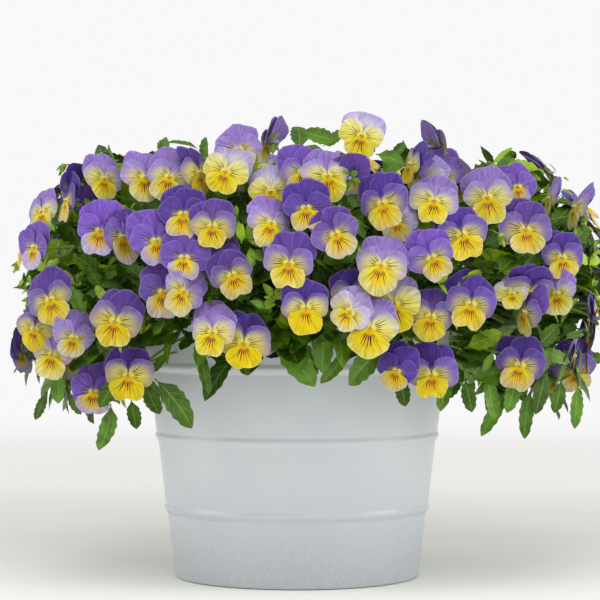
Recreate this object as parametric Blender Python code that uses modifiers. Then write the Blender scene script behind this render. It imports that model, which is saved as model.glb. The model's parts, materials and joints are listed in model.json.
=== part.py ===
"""Potted pansy planter: an enamelled sheet-metal tub, its base plate, the potting soil,
leafy viola shoots that rise from the soil and spill over the rim, and their blooms.

Metres, +Z up, and the front of the planter faces -Y. The origin is the middle of the
flat underside. Compass angles are measured from the front, and grow towards +X.
"""

import math

import bmesh
import bpy
from mathutils import Matrix, Vector
from mathutils.bvhtree import BVHTree

MM = 0.001
GAP = 0.3 * MM

# Tub: a tapered wall pressed from sheet, with a rolled rim and three raised beads.
TUB_HEIGHT = 188 * MM
BASE_RADIUS = 88.7 * MM
WALL_FLARE = 0.115
SHEET = 1.2 * MM
CURL_RADIUS = 1.8 * MM
BEAD_HEIGHTS = [50 * MM, 101.5 * MM, 152.5 * MM]
BEAD_TALL = 9 * MM
BEAD_PROUD = 1.5 * MM
BEAD_STEP = 0.8 * MM
TUB_SIDES = 32

# Potting soil: fills the tub to a headspace below the rim.
HEADSPACE = 18 * MM
SOIL_TOP = TUB_HEIGHT - HEADSPACE

# The mound of flowers: how far it spreads to the right, to the left and to the front, and
# its widest level.
MOUND_WIDE = 228 * MM
MOUND_LEFT = 200 * MM
MOUND_DEEP = 205 * MM
MOUND_LEVEL = 215 * MM
MOUND_ABOVE = 137 * MM
MOUND_BELOW = 125 * MM
MOUND_POWER = 2.2

# One bloom of size 1: how far its petals reach from the eye, and how deep it is.
UPPER_REACH = 20 * MM
SIDE_REACH = 16 * MM
LIP_REACH = 16 * MM
VALLEY = 0.78
PETAL_LIFT = 2 * MM
CALYX_RADIUS = 3.5 * MM
CALYX_BACK = 3 * MM
SPUR_BACK = 9 * MM
BLOOM_SHIFTS = [0, 9, -9, 15, -15, 21]

# Petal tones, as linear red, green and blue.
TONES = {
    "deep": (0.10, 0.04, 0.33),
    "violet": (0.20, 0.10, 0.55),
    "lavender": (0.38, 0.28, 0.72),
    "cream": (0.72, 0.62, 0.50),
    "dusk": (0.30, 0.19, 0.42),
}

# Blooms on the front, laid out by hand on the front elevation: x and z of the eye in mm,
# the turn to the right, the tilt upwards and the spin clockwise in degrees, the size
# and the tone.
FRONT_BLOOMS = [
    (43, 308, 5, 10, 18, 1.0, "cream"),
    (-46, 283, -5, 8, 20, 1.0, "cream"),
    (-83, 280, -5, 12, 15, 1.05, "lavender"),
    (-127, 280, 40, 8, 10, 1.0, "lavender"),
    (-73, 255, 0, 5, 0, 1.05, "deep"),
    (-128, 245, -10, 5, 15, 1.05, "violet"),
    (-72, 227, 0, 0, 5, 1.05, "violet"),
    (-175, 235, -45, 0, 5, 1.0, "violet"),
    (6, 259, 0, 10, 0, 1.0, "deep"),
    (55, 262, -20, 0, -15, 1.1, "deep"),
    (-5, 223, 0, 5, 8, 1.1, "dusk"),
    (54, 222, 0, 3, 18, 1.1, "lavender"),
    (6, 195, 0, 0, 0, 1.0, "deep"),
    (47, 182, -5, 0, 12, 1.1, "lavender"),
    (-34, 172, 0, 0, 5, 1.1, "deep"),
    (89, 264, 0, 8, 10, 1.05, "lavender"),
    (125, 267, 5, 5, -5, 1.1, "lavender"),
    (151, 246, 8, 5, 0, 1.15, "dusk"),
    (177, 228, 12, 3, 0, 1.0, "deep"),
    (113, 197, 5, 0, 10, 1.1, "deep"),
    (88, 151, 0, -5, 0, 1.1, "deep"),
    (149, 156, 5, -5, 8, 1.1, "deep"),
    (199, 148, 10, -25, -10, 1.15, "dusk"),
    (-118, 186, -5, 0, 15, 1.1, "dusk"),
    (-111, 150, -5, -5, 0, 1.1, "deep"),
    (-137, 138, -5, -5, 5, 1.1, "violet"),
    (-163, 200, -15, 0, -20, 1.05, "dusk"),
    (-164, 163, -10, -15, 10, 1.0, "lavender"),
]

# Blooms round the sides and back follow a rule: even steps of the compass, at four levels.
RING_BLOOMS = 13
RING_FROM = 84
RING_TO = 286
RING_LEVELS = [235 * MM, 300 * MM, 175 * MM, 270 * MM]
RING_SPIN = 12
RING_SIZE = 1.05

# Four more look up from the top of the mound.
TOP_BLOOMS = 4
TOP_RADIUS = 78 * MM
TOP_LEVEL = 300 * MM
TOP_TILT = 62

# Leafy shoots, one every few degrees of the compass, closer together at the front.
SHOOT_COMPASS = [-100, -62, -38, -18, 1, 20, 40, 66, 104, 145, 188, 226]
FOOT_RADIUS = 54 * MM
CROWN_RADIUS = 92 * MM
CROWN_HEIGHT = 224 * MM
STEM_RADIUS = 2 * MM
STALK_RADIUS = 0.9 * MM
STALK_STEPS = 4

# Side twigs that arch over the rim, and the leaves that hang from them.
SKIRT_FRONT = (134 * MM, 176 * MM)
SKIRT_SIDE = (166 * MM, 150 * MM)

LEAF_LONG = 38 * MM
LEAF_WIDE = 15 * MM
LEAF_THICK = 0.9 * MM
LEAF_ARCH = 0.22
LEAF_FOLD = 0.18


def clear_scene():
    for thing in list(bpy.data.objects):
        bpy.data.objects.remove(thing, do_unlink=True)


def new_collection(name, parent):
    made = bpy.data.collections.new(name)
    parent.children.link(made)
    return made


def material(name, colour, roughness, metallic=0.0):
    made = bpy.data.materials.new(name)
    made.use_nodes = True
    shader = made.node_tree.nodes["Principled BSDF"]
    shader.inputs["Base Color"].default_value = (*colour, 1.0)
    shader.inputs["Roughness"].default_value = roughness
    shader.inputs["Metallic"].default_value = metallic
    return made


def enamel_material(name):
    return material(name, (0.70, 0.73, 0.74), 0.28)


def soil_material(name):
    return material(name, (0.035, 0.022, 0.014), 0.95)


def foliage_material(name):
    return material(name, (0.07, 0.17, 0.03), 0.5)


def petal_material(name, tone):
    return material(name, TONES[tone], 0.6)


def add_object(name, mesh, collection, surface, smooth_angle=None):
    if smooth_angle is not None:
        mesh.shade_smooth()
        mesh.set_sharp_from_angle(angle=math.radians(smooth_angle))
    mesh.materials.append(surface)
    made = bpy.data.objects.new(name, mesh)
    collection.objects.link(made)
    return made


def mesh_from(bm, name):
    mesh = bpy.data.meshes.new(name)
    bm.to_mesh(mesh)
    bm.free()
    return mesh


def compass(angle, radius, height):
    """The point at this compass angle, radius and height."""
    turn = math.radians(angle)
    return Vector((radius * math.sin(turn), -radius * math.cos(turn), height))


def compass_of(point):
    return math.degrees(math.atan2(point.x, -point.y))


def add_screw(thing, sides):
    screw = thing.modifiers.new("turned", "SCREW")
    screw.axis = "Z"
    screw.steps = screw.render_steps = sides
    screw.use_merge_vertices = True
    screw.merge_threshold = 0.00001
    screw.use_smooth_shade = True


def turned(name, profile, collection, surface):
    """A body turned about Z from (radius, height) points, listed down its outer side."""
    mesh = bpy.data.meshes.new(name)
    edges = [(i, i + 1) for i in range(len(profile) - 1)]
    mesh.from_pydata([(r, 0, z) for r, z in profile], edges, [])
    made = add_object(name, mesh, collection, surface)
    add_screw(made, TUB_SIDES)
    return made


# --- tub ---

def wall_radius(height):
    """Outer radius of the wall between the beads. Each bead below adds a small step."""
    steps = sum(BEAD_STEP for bead in BEAD_HEIGHTS if height > bead)
    return BASE_RADIUS + WALL_FLARE * height + steps


def bead_profile(middle):
    """Three points of one raised bead: its top, its crest and its foot."""
    offsets = [(0.5, 0), (0, 1), (-0.5, 0)]
    return [
        (wall_radius(middle + along * BEAD_TALL) + out * BEAD_PROUD, middle + along * BEAD_TALL)
        for along, out in offsets
    ]


def rim_profile():
    """The sheet curled outwards at the rim: from the curl's end, over the top to the wall."""
    centre_z = TUB_HEIGHT - CURL_RADIUS - SHEET
    centre_r = wall_radius(centre_z) + CURL_RADIUS
    points = []
    for degrees in range(-20, 181, 50):
        turn = math.radians(degrees)
        points.append(
            (centre_r + CURL_RADIUS * math.cos(turn), centre_z + CURL_RADIUS * math.sin(turn))
        )
    return points


def tub_profile():
    points = rim_profile()
    for bead in reversed(BEAD_HEIGHTS):
        points += bead_profile(bead)
    return points + [(wall_radius(0), 0)]


def build_tub_wall(collection):
    wall = turned("tub_wall", tub_profile(), collection, enamel_material("enamelled steel"))
    sheet = wall.modifiers.new("sheet", "SOLIDIFY")
    sheet.thickness = SHEET
    sheet.offset = -1
    return wall


def build_tub_base(collection):
    radius = BASE_RADIUS - SHEET - 2 * GAP
    profile = [(0, 1.5 * MM), (radius, 1.5 * MM), (radius, 0), (0, 0)]
    return turned("tub_base", profile, collection, enamel_material("enamelled steel base"))


def build_soil(collection):
    """The root ball and potting mix, a plug that follows the wall's taper inside it."""
    low = 1.5 * MM + GAP
    inner = BASE_RADIUS - SHEET - 2 * GAP
    profile = [
        (0, SOIL_TOP),
        (inner + WALL_FLARE * SOIL_TOP, SOIL_TOP),
        (inner + WALL_FLARE * low, low),
        (0, low),
    ]
    return turned("potting_soil", profile, collection, soil_material("potting soil"))


# --- room taken so far, so that nothing is set through a neighbour ---

class Room:
    """The surfaces placed so far, with the owner of each."""

    def __init__(self):
        self.trees = []

    def add(self, owner, tree):
        self.trees.append((owner, tree))

    def add_object(self, owner, thing):
        graph = bpy.context.evaluated_depsgraph_get()
        evaluated = thing.evaluated_get(graph)
        mesh = evaluated.to_mesh()
        points = [thing.matrix_world @ v.co for v in mesh.vertices]
        self.add(owner, BVHTree.FromPolygons(points, [tuple(p.vertices) for p in mesh.polygons]))
        evaluated.to_mesh_clear()

    def hits(self, owner, tree):
        return sum(1 for who, other in self.trees if who != owner and other.overlap(tree))

    def crowding(self, owner, points, radius):
        """How many of these points lie nearer than radius to another owner's surface."""
        count = 0
        for who, other in self.trees:
            if who != owner:
                count += sum(1 for p in points if other.find_nearest(p, radius)[0] is not None)
        return count


def tree_of(mesh, matrix, grow, offsets):
    """Test surface: the mesh grown a little, once for each offset along its own Z."""
    points = []
    faces = []
    for offset in offsets:
        first = len(points)
        for vertex in mesh.vertices:
            local = Vector((vertex.co.x * grow, vertex.co.y * grow, vertex.co.z + offset))
            points.append(matrix @ local)
        faces += [[first + i for i in face.vertices] for face in mesh.polygons]
    return BVHTree.FromPolygons(points, faces)


# --- blooms ---

def mound_share(level):
    """How much of the mound's plan is left at this level, from 1 at its widest to 0."""
    span = MOUND_ABOVE if level > MOUND_LEVEL else MOUND_BELOW
    rise = abs(level - MOUND_LEVEL) / span
    return max(1 - rise ** MOUND_POWER, 0.02)


def mound_depth(x, level):
    """How far in front of the axis the mound's surface lies at x and this level."""
    share = mound_share(level) - (abs(x) / MOUND_WIDE) ** MOUND_POWER
    return MOUND_DEEP * max(share, 0.02) ** (1 / MOUND_POWER)


def mound_point(angle, level):
    """The point of the mound's surface at this compass angle and level."""
    turn = math.radians(angle)
    spread = MOUND_WIDE if math.sin(turn) > 0 else MOUND_LEFT
    wide = abs(math.sin(turn) / spread) ** MOUND_POWER
    deep = abs(math.cos(turn) / MOUND_DEEP) ** MOUND_POWER
    radius = (mound_share(level) / (wide + deep)) ** (1 / MOUND_POWER)
    return compass(angle, radius, level)


def facing(turn, tilt, spin):
    """Rotation that points local Z along the facing, and local Y to the bloom's top."""
    return (
        Matrix.Rotation(math.radians(turn), 4, "Z")
        @ Matrix.Rotation(math.radians(90 - tilt), 4, "X")
        @ Matrix.Rotation(math.radians(-spin), 4, "Z")
    )


def petal_reach(step):
    """Reach of the outline at each third of a petal, counted from the bloom's top."""
    reach = [UPPER_REACH, SIDE_REACH, LIP_REACH, SIDE_REACH, UPPER_REACH][(step // 3) % 5]
    if step % 3:
        return reach
    before = [UPPER_REACH, SIDE_REACH, LIP_REACH, SIDE_REACH, UPPER_REACH][(step // 3 - 1) % 5]
    return VALLEY * (reach + before) / 2


def bloom_mesh(name, size):
    """Five petals in one shallow dish: eye in front, rim, calyx ring, and spur behind."""
    bm = bmesh.new()
    bmesh.ops.create_uvsphere(bm, u_segments=15, v_segments=3, radius=1)
    for vertex in bm.verts:
        flat = math.hypot(vertex.co.x, vertex.co.y)
        if flat < 0.1:
            vertex.co = Vector((0, 0, 0 if vertex.co.z > 0 else -SPUR_BACK))
        elif vertex.co.z > 0:
            around = math.degrees(math.atan2(vertex.co.x, vertex.co.y)) % 360
            reach = petal_reach(round(around / 24) % 15)
            turn = math.radians(around)
            vertex.co = Vector((reach * math.sin(turn), reach * math.cos(turn), PETAL_LIFT))
        else:
            vertex.co.x *= CALYX_RADIUS / flat
            vertex.co.y *= CALYX_RADIUS / flat
            vertex.co.z = -CALYX_BACK
    bmesh.ops.scale(bm, vec=(size, size, size), verts=bm.verts)
    bmesh.ops.recalc_face_normals(bm, faces=bm.faces)
    return mesh_from(bm, name)


def bloom_plans():
    """Place, facing, size, the direction to shift in, and tone, for every bloom."""
    tones = list(TONES)
    plans = []
    for x, z, turn, tilt, spin, size, tone in FRONT_BLOOMS:
        eye = Vector((x * MM, -mound_depth(x * MM, z * MM), z * MM))
        plans.append((eye, facing(turn, tilt, spin), size, Vector((0, -1, 0)), tone))
    for index in range(RING_BLOOMS):
        angle = RING_FROM + (RING_TO - RING_FROM) * index / (RING_BLOOMS - 1)
        level = RING_LEVELS[index % len(RING_LEVELS)]
        tilt = 60 * (level - MOUND_LEVEL) / MOUND_ABOVE
        spin = RING_SPIN * (-1) ** index
        out = compass(angle, 1, 0)
        tone = tones[index % len(tones)]
        plans.append((mound_point(angle, level), facing(angle, tilt, spin), RING_SIZE, out, tone))
    for index in range(TOP_BLOOMS):
        angle = 360 * (index + 0.4) / TOP_BLOOMS
        eye = compass(angle, TOP_RADIUS, TOP_LEVEL)
        out = compass(angle, 1, 0)
        plans.append((eye, facing(angle, TOP_TILT, RING_SPIN), RING_SIZE, out, tones[index]))
    return plans


def build_blooms(collection, room):
    """Sets every bloom, each moved in or out where it would meet one already there."""
    heads = []
    for index, (eye, turned_to, size, outward, tone) in enumerate(bloom_plans()):
        name = f"bloom_{index + 1:02d}"
        mesh = bloom_mesh(name, size)
        choices = []
        for shift in BLOOM_SHIFTS:
            place = Matrix.Translation(eye + outward * shift * MM) @ turned_to
            tree = tree_of(mesh, place, 1.04, (-0.8 * MM, 0.8 * MM))
            choices.append((room.hits(name, tree), len(choices), place, tree))
        hits, _, place, tree = min(choices, key=lambda choice: choice[:2])
        if hits:
            print(name, "still meets", hits)
        made = add_object(name, mesh, collection, petal_material(name + " petals", tone), 40)
        made.matrix_world = place
        room.add(name, tree)
        heads.append((name, place, size))
    return heads


# --- shoots ---

def curve_points(ends, steps):
    """Points of the cubic curve through these four controls."""
    a, b, c, d = ends
    points = []
    for step in range(steps + 1):
        t = step / steps
        u = 1 - t
        points.append(a * u**3 + b * 3 * u * u * t + c * 3 * u * t * t + d * t**3)
    return points


def tube_object(name, points, radius, sides, collection):
    """A solid stem along these points, made a mesh with its caps closed."""
    data = bpy.data.curves.new(name, "CURVE")
    data.dimensions = "3D"
    data.bevel_depth = radius
    data.bevel_resolution = sides
    data.use_fill_caps = True
    spline = data.splines.new("POLY")
    spline.points.add(len(points) - 1)
    for target, point in zip(spline.points, points):
        target.co = (*point, 1)
    guide = bpy.data.objects.new(name + "_guide", data)
    collection.objects.link(guide)
    graph = bpy.context.evaluated_depsgraph_get()
    mesh = bpy.data.meshes.new_from_object(guide.evaluated_get(graph))
    bm = bmesh.new()
    bm.from_mesh(mesh)
    bmesh.ops.remove_doubles(bm, verts=bm.verts, dist=0.00001)
    bmesh.ops.recalc_face_normals(bm, faces=bm.faces)
    bm.to_mesh(mesh)
    bm.free()
    bpy.data.objects.remove(guide)
    made = bpy.data.objects.new(name, mesh)
    collection.objects.link(made)
    return made


def leaf_mesh(name, long, wide):
    """An ovate blade on a grid: folded along its midrib, and arched towards the tip."""
    bm = bmesh.new()
    bmesh.ops.create_grid(bm, x_segments=2, y_segments=3, size=0.5)
    for vertex in bm.verts:
        t = vertex.co.y + 0.5
        across = 2 * vertex.co.x
        half = 0.6 * MM + wide / 2 * math.sin(math.pi * t**0.8) ** 0.8 * (t < 0.99)
        vertex.co.x = across * half
        vertex.co.y = t * long
        vertex.co.z = abs(across) * half * LEAF_FOLD - LEAF_ARCH * long * t * t
    return mesh_from(bm, name)


def leaf_matrix(base, along, up):
    """Frame with local Y along the blade and local Z as near to up as it goes."""
    y = along.normalized()
    x = y.cross(up).normalized()
    z = x.cross(y)
    turn = Matrix((x, y, z)).transposed().to_4x4()
    return Matrix.Translation(base) @ turn


def largest_shell(mesh):
    """The mesh without the tiny pockets that a union leaves between its pieces."""
    bm = bmesh.new()
    bm.from_mesh(mesh)
    left = set(bm.faces)
    shells = []
    while left:
        shell = {left.pop()}
        border = list(shell)
        while border:
            border = list({g for f in border for e in f.edges for g in e.link_faces} - shell)
            shell.update(border)
        left -= shell
        shells.append(shell)
    shells.sort(key=len)
    pockets = [face for shell in shells[:-1] for face in shell]
    bmesh.ops.delete(bm, geom=pockets, context="FACES")
    bm.to_mesh(mesh)
    bm.free()
    return mesh


class Shoot:
    """One leafy shoot: its pieces are joined into one body at the end."""

    def __init__(self, index, angle, helpers, room):
        self.name = f"leafy_shoot_{index + 1:02d}"
        self.angle = angle
        self.room = room
        self.helpers = new_collection(self.name + "_pieces", helpers)
        self.helpers.hide_render = True
        self.crown = compass(angle, CROWN_RADIUS, CROWN_HEIGHT)
        self.paths = []
        self.trees = []
        self.count = 0

    def keep(self, thing):
        self.count += 1
        thing.display_type = "WIRE"
        thing.hide_render = True
        self.room.add_object(self.name, thing)

    def add_stem(self, collection):
        foot = compass(self.angle, FOOT_RADIUS, SOIL_TOP + 3 * GAP)
        ends = [foot, foot + Vector((0, 0, 30 * MM)), self.crown - Vector((0, 0, 12 * MM)), self.crown]
        points = curve_points(ends, 4)
        points.append(self.crown + (points[-1] - points[-2]).normalized() * 3 * MM)
        self.stem = tube_object(self.name, points, STEM_RADIUS, 1, collection)
        self.room.add_object(self.name, self.stem)
        self.paths.append(points)

    def free_path(self, end, arrive):
        """The curve from the crown to this end that crowds its neighbours least."""
        reach = (end - self.crown).length
        side = arrive.cross(Vector((0, 0, 1))).normalized()
        out = compass(self.angle, 1, 0)
        choices = []
        for rise in (0.25, 0.5, 0.1):
            for sway in (0, 0.25, -0.25):
                for drop in (0.15, -0.1, 0.35):
                    leave = (out * 0.4 + Vector((0, 0, rise)) + side * sway) * reach
                    back = (arrive + side * sway + Vector((0, 0, drop))) * (reach * 0.35)
                    ends = [self.crown, self.crown + leave, end - back, end]
                    fine = curve_points(ends, 40)[:-1]
                    crowd = self.room.crowding(self.name, fine, STALK_RADIUS + 2 * GAP)
                    choices.append((crowd, len(choices), ends))
                    if crowd == 0:
                        return ends, 0
        crowd, _, ends = min(choices, key=lambda choice: choice[:2])
        return ends, crowd

    def add_stalk(self, end, arrive, owner):
        ends, crowd = self.free_path(end, arrive)
        if crowd:
            print(self.name, "stalk to", owner, "crowds", crowd)
        points = curve_points(ends, STALK_STEPS)
        self.paths.append(points)
        self.keep(tube_object(f"{self.name}_stalk_{self.count}", points, STALK_RADIUS, 0, self.helpers))

    def add_leaf(self, base, along, up, long=LEAF_LONG, wide=LEAF_WIDE):
        """Adds one blade where it fits, trying it swung round its base, or leaves it out."""
        name = f"{self.name}_leaf_{self.count}"
        mesh = leaf_mesh(name, long, wide)
        for swing in (0, 35, -35, 70, -70):
            towards = Matrix.Rotation(math.radians(swing), 3, up) @ along
            place = leaf_matrix(base, towards, up)
            tree = tree_of(mesh, place, 1.06, (-1.1 * MM, 0, 1.1 * MM))
            if self.room.hits(self.name, tree) == 0:
                leaf = bpy.data.objects.new(name, mesh)
                self.helpers.objects.link(leaf)
                leaf.matrix_world = place
                blade = leaf.modifiers.new("blade", "SOLIDIFY")
                blade.thickness = LEAF_THICK
                blade.offset = 0
                bpy.context.view_layer.update()
                self.keep(leaf)
                return

    def add_leaves(self):
        """One blade part way along each path, on alternate sides, then two at the crown."""
        for number, points in enumerate(self.paths[1:]):
            middle = points[1 + number % 2]
            run = (points[2] - points[1]).normalized()
            out = Vector((middle.x, middle.y, 0)).normalized()
            side = run.cross(out).normalized() * (-1) ** number
            self.add_leaf(middle, side + out * 0.5 + run * 0.4, Vector((0, 0, 1)) + out * 0.4)
        for hand in (-1, 1):
            side = compass(self.angle + 90 * hand, 1, 0)
            along = side * 0.6 - compass(self.angle, 0.5, 0) + Vector((0, 0, 0.7))
            self.add_leaf(self.crown, along, Vector((0, 0, 1)) + side)

    def add_skirt(self):
        """A twig that arches over the rim, with blades that hang from its end."""
        share = min(abs(self.angle) / 45, 1)
        radius = SKIRT_FRONT[0] + (SKIRT_SIDE[0] - SKIRT_FRONT[0]) * share
        height = SKIRT_FRONT[1] + (SKIRT_SIDE[1] - SKIRT_FRONT[1]) * share
        end = compass(self.angle + 5, radius, height)
        self.add_stalk(end, Vector((0, 0, -1)) + compass(self.angle, 0.4, 0), "skirt")
        tip = self.paths[-1][-1] - Vector((0, 0, -1)) * MM
        out = compass(self.angle, 1, 0)
        for hand, growth in ((-0.6, 1.2), (0.42, 1.05)):
            side = compass(self.angle + 90, hand, 0)
            along = Vector((0, 0, -1)) + side + out * 0.3 * growth
            self.add_leaf(tip + side * MM, along, out + side * 0.2, LEAF_LONG * growth)

    def join(self):
        """Unites the stem with its stalks and blades, and fills the pockets left between them."""
        union = self.stem.modifiers.new("grown together", "BOOLEAN")
        union.operation = "UNION"
        union.operand_type = "COLLECTION"
        union.collection = self.helpers
        union.solver = "EXACT"
        graph = bpy.context.evaluated_depsgraph_get()
        grown = bpy.data.meshes.new_from_object(self.stem.evaluated_get(graph))
        self.stem.modifiers.clear()
        self.stem.data = largest_shell(grown)


def nearest_shoot(shoots, point):
    def away(shoot):
        return abs((compass_of(point) - shoot.angle + 180) % 360 - 180)

    return min(shoots, key=away)


def build_shoots(collection, helpers, room, heads):
    shoots = [Shoot(i, angle, helpers, room) for i, angle in enumerate(SHOOT_COMPASS)]
    for shoot in shoots:
        shoot.add_stem(collection)
    for name, place, size in heads:
        arrive = place.to_3x3() @ Vector((0, 0, 1))
        end = place @ Vector((0, 0, -(SPUR_BACK * size + 1.5 * GAP)))
        nearest_shoot(shoots, end).add_stalk(end, arrive, name)
    for shoot in shoots:
        shoot.add_skirt()
    for shoot in shoots:
        shoot.add_leaves()
    for shoot in shoots:
        shoot.join()
        shoot.stem.data.materials.append(foliage_material(shoot.name + " green"))


def main():
    clear_scene()
    scene = bpy.context.scene
    planter = new_collection("Potted pansy planter", scene.collection)
    helpers = new_collection("Joined pieces", scene.collection)
    room = Room()
    for build in (build_tub_wall, build_tub_base, build_soil):
        made = build(planter)
        bpy.context.view_layer.update()
        room.add_object(made.name, made)
    heads = build_blooms(planter, room)
    build_shoots(planter, helpers, room, heads)


main()
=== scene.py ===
import functools
import json

import bpy
import numpy as np
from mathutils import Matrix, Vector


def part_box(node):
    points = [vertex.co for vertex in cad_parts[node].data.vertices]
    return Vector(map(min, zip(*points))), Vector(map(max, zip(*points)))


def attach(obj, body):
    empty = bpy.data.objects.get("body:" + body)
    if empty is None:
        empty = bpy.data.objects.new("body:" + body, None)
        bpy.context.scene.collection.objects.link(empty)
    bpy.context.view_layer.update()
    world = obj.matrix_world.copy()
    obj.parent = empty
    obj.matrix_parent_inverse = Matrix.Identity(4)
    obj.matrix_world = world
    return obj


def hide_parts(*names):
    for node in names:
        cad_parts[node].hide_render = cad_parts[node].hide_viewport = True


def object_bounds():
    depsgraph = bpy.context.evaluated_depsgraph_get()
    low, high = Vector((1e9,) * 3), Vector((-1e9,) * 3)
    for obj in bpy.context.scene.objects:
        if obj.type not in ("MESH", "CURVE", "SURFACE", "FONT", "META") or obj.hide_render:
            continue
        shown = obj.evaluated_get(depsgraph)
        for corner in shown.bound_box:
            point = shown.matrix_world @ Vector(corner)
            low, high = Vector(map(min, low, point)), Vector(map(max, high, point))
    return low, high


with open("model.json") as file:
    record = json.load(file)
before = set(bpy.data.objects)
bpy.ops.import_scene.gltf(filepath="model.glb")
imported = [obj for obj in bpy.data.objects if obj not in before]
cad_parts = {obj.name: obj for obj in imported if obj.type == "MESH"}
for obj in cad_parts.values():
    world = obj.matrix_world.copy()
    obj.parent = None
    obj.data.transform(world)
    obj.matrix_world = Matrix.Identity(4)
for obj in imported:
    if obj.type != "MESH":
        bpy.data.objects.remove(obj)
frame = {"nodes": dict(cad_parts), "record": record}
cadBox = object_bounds()
mm = 0.001
lowCorner, highCorner = (np.array(corner) for corner in cadBox)
print("frame loaded:", len(frame["nodes"]), "nodes")


# general helpers

def linearColour(hexColour):
    # sRGB to linear light: ((c + 0.055) / 1.055) ^ 2.4, and c / 12.92 in the darkest part
    parts = np.array([int(hexColour[i:i + 2], 16) for i in (1, 3, 5)]) / 255
    light = np.where(parts > 0.04045, ((parts + 0.055) / 1.055) ** 2.4, parts / 12.92)
    return (*light.tolist(), 1.0)


# for each kind of node: Blender's name, its settings, its inputs in order, and the output it gives
nodeKinds = {
    "object place": ("ShaderNodeTexCoord", {}, (), "Object"),
    "attribute": ("ShaderNodeAttribute", {}, (), "Vector"),
    "colour attribute": ("ShaderNodeAttribute", {}, (), "Color"),
    "split": ("ShaderNodeSeparateXYZ", {}, (0,), slice(3)),
    "join": ("ShaderNodeCombineXYZ", {}, (0, 1, 2), 0),
    "length": ("ShaderNodeVectorMath", {"operation": "LENGTH"}, (0,), "Value"),
    "gray": ("ShaderNodeCombineColor", {}, (0, 1, 2), 0),
    "red": ("ShaderNodeSeparateColor", {}, (0,), 0),
    "noise": ("ShaderNodeTexNoise", {}, ("Vector", "Scale", "Detail", "Roughness"), 0),
    "crumbs": ("ShaderNodeTexVoronoi", {}, ("Vector", "Scale"), slice(2)),
    "chance": ("ShaderNodeTexWhiteNoise", {"noise_dimensions": "1D"}, ("W",), "Value"),
    # a smooth step from the third number to the fourth (0 and 1 if left out) between the first and second
    "fade": ("ShaderNodeMapRange", {"interpolation_type": "SMOOTHSTEP"},
             ("Value", "From Min", "From Max", "To Min", "To Max"), 0),
    "mix": ("ShaderNodeMix", {"data_type": "RGBA"}, (0, 6, 7), 2),
    "tint": ("ShaderNodeMix", {"data_type": "RGBA", "blend_type": "MULTIPLY"}, (0, 6, 7), 2),
    "bump": ("ShaderNodeBump", {}, ("Height", "Strength", "Distance"), 0),
    "glow": ("ShaderNodeEmission", {}, ("Color", "Strength"), 0),
    "blend": ("ShaderNodeMixShader", {}, (0, 1, 2), 0),
    "seen": ("ShaderNodeLightPath", {}, (), "Is Camera Ray"),
}
for operation in ("add", "subtract", "multiply", "divide", "power", "maximum", "absolute", "round",
                  "pingpong"):
    nodeKinds[operation] = ("ShaderNodeMath", {"operation": operation.upper()}, (0, 1), 0)


def setInputs(node, inputs):
    # links outputs in, and sets plain values on the node's own sockets
    for key, value in inputs.items():
        if isinstance(value, bpy.types.NodeSocket):
            node.id_data.links.new(value, node.inputs[key])
        else:
            node.inputs[key].default_value = value


def addNode(tree, kind, *values, **settings):
    # one node of a listed kind: the values, or the outputs to link in, fill its inputs in order
    name, fixed, sockets, output = nodeKinds[kind]
    node = tree.nodes.new(name)
    for key, value in {**fixed, **settings}.items():
        setattr(node, key, value)
    setInputs(node, dict(zip(sockets, values)))
    return node.outputs[output]


def newMaterial(name, constants):
    # the material, its shader, and addNode for its own tree
    material = bpy.data.materials.new(name)
    material.use_nodes = True
    shader = material.node_tree.nodes["Principled BSDF"]
    setInputs(shader, constants)
    return material, shader, functools.partial(addNode, material.node_tree)


def grainScale(size):
    # a texture's scale for features of this size in mm
    return 1 / (size * mm)


def unit(vectors):
    return vectors / np.maximum(np.linalg.norm(vectors, axis=-1, keepdims=True), 1e-9)


def gridFaces(count, rows, columns, closed=False):
    # quads of `count` grids whose points are listed row by row; closed joins the last column to the first
    row, column = np.meshgrid(np.arange(rows - 1), np.arange(columns - (not closed)), indexing="ij")
    after = (column + 1) % columns
    corners = [row * columns + column, row * columns + after,
               (row + 1) * columns + after, (row + 1) * columns + column]
    quads = np.stack(corners, -1).reshape(-1, 4)
    return (quads[None] + (np.arange(count) * rows * columns)[:, None, None]).reshape(-1, 4)


def meshPiece(name, parts, materials):
    # one object from parts, each {"points", "faces", "material", and point attributes of 3 or 4 numbers}
    starts = np.cumsum([0] + [len(part["points"]) for part in parts])
    points = np.concatenate([part["points"] for part in parts])
    faces = np.concatenate([part["faces"] + start for part, start in zip(parts, starts)])
    mesh = bpy.data.meshes.new(name)
    mesh.vertices.add(len(points))
    mesh.vertices.foreach_set("co", points.astype(np.float32).ravel())
    mesh.loops.add(faces.size)
    mesh.loops.foreach_set("vertex_index", faces.astype(np.int32).ravel())
    mesh.polygons.add(len(faces))
    mesh.polygons.foreach_set("loop_start", np.arange(0, faces.size, 4, dtype=np.int32))
    worn = np.concatenate([np.full(len(part["faces"]), part.get("material", 0)) for part in parts])
    mesh.polygons.foreach_set("material_index", worn.astype(np.int32))
    mesh.polygons.foreach_set("use_smooth", np.ones(len(faces), bool))
    kinds = {3: ("FLOAT_VECTOR", "vector"), 4: ("FLOAT_COLOR", "color")}
    for key in [key for key in parts[0] if key not in ("points", "faces", "material")]:
        values = np.concatenate([part[key] for part in parts])
        kind, field = kinds[values.shape[1]]
        mesh.attributes.new(key, kind, "POINT").data.foreach_set(field, values.astype(np.float32).ravel())
    mesh.update(calc_edges=True)
    for material in materials:
        mesh.materials.append(material)
    made = bpy.data.objects.new(name, mesh)
    bpy.context.scene.collection.objects.link(made)
    return made


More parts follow.
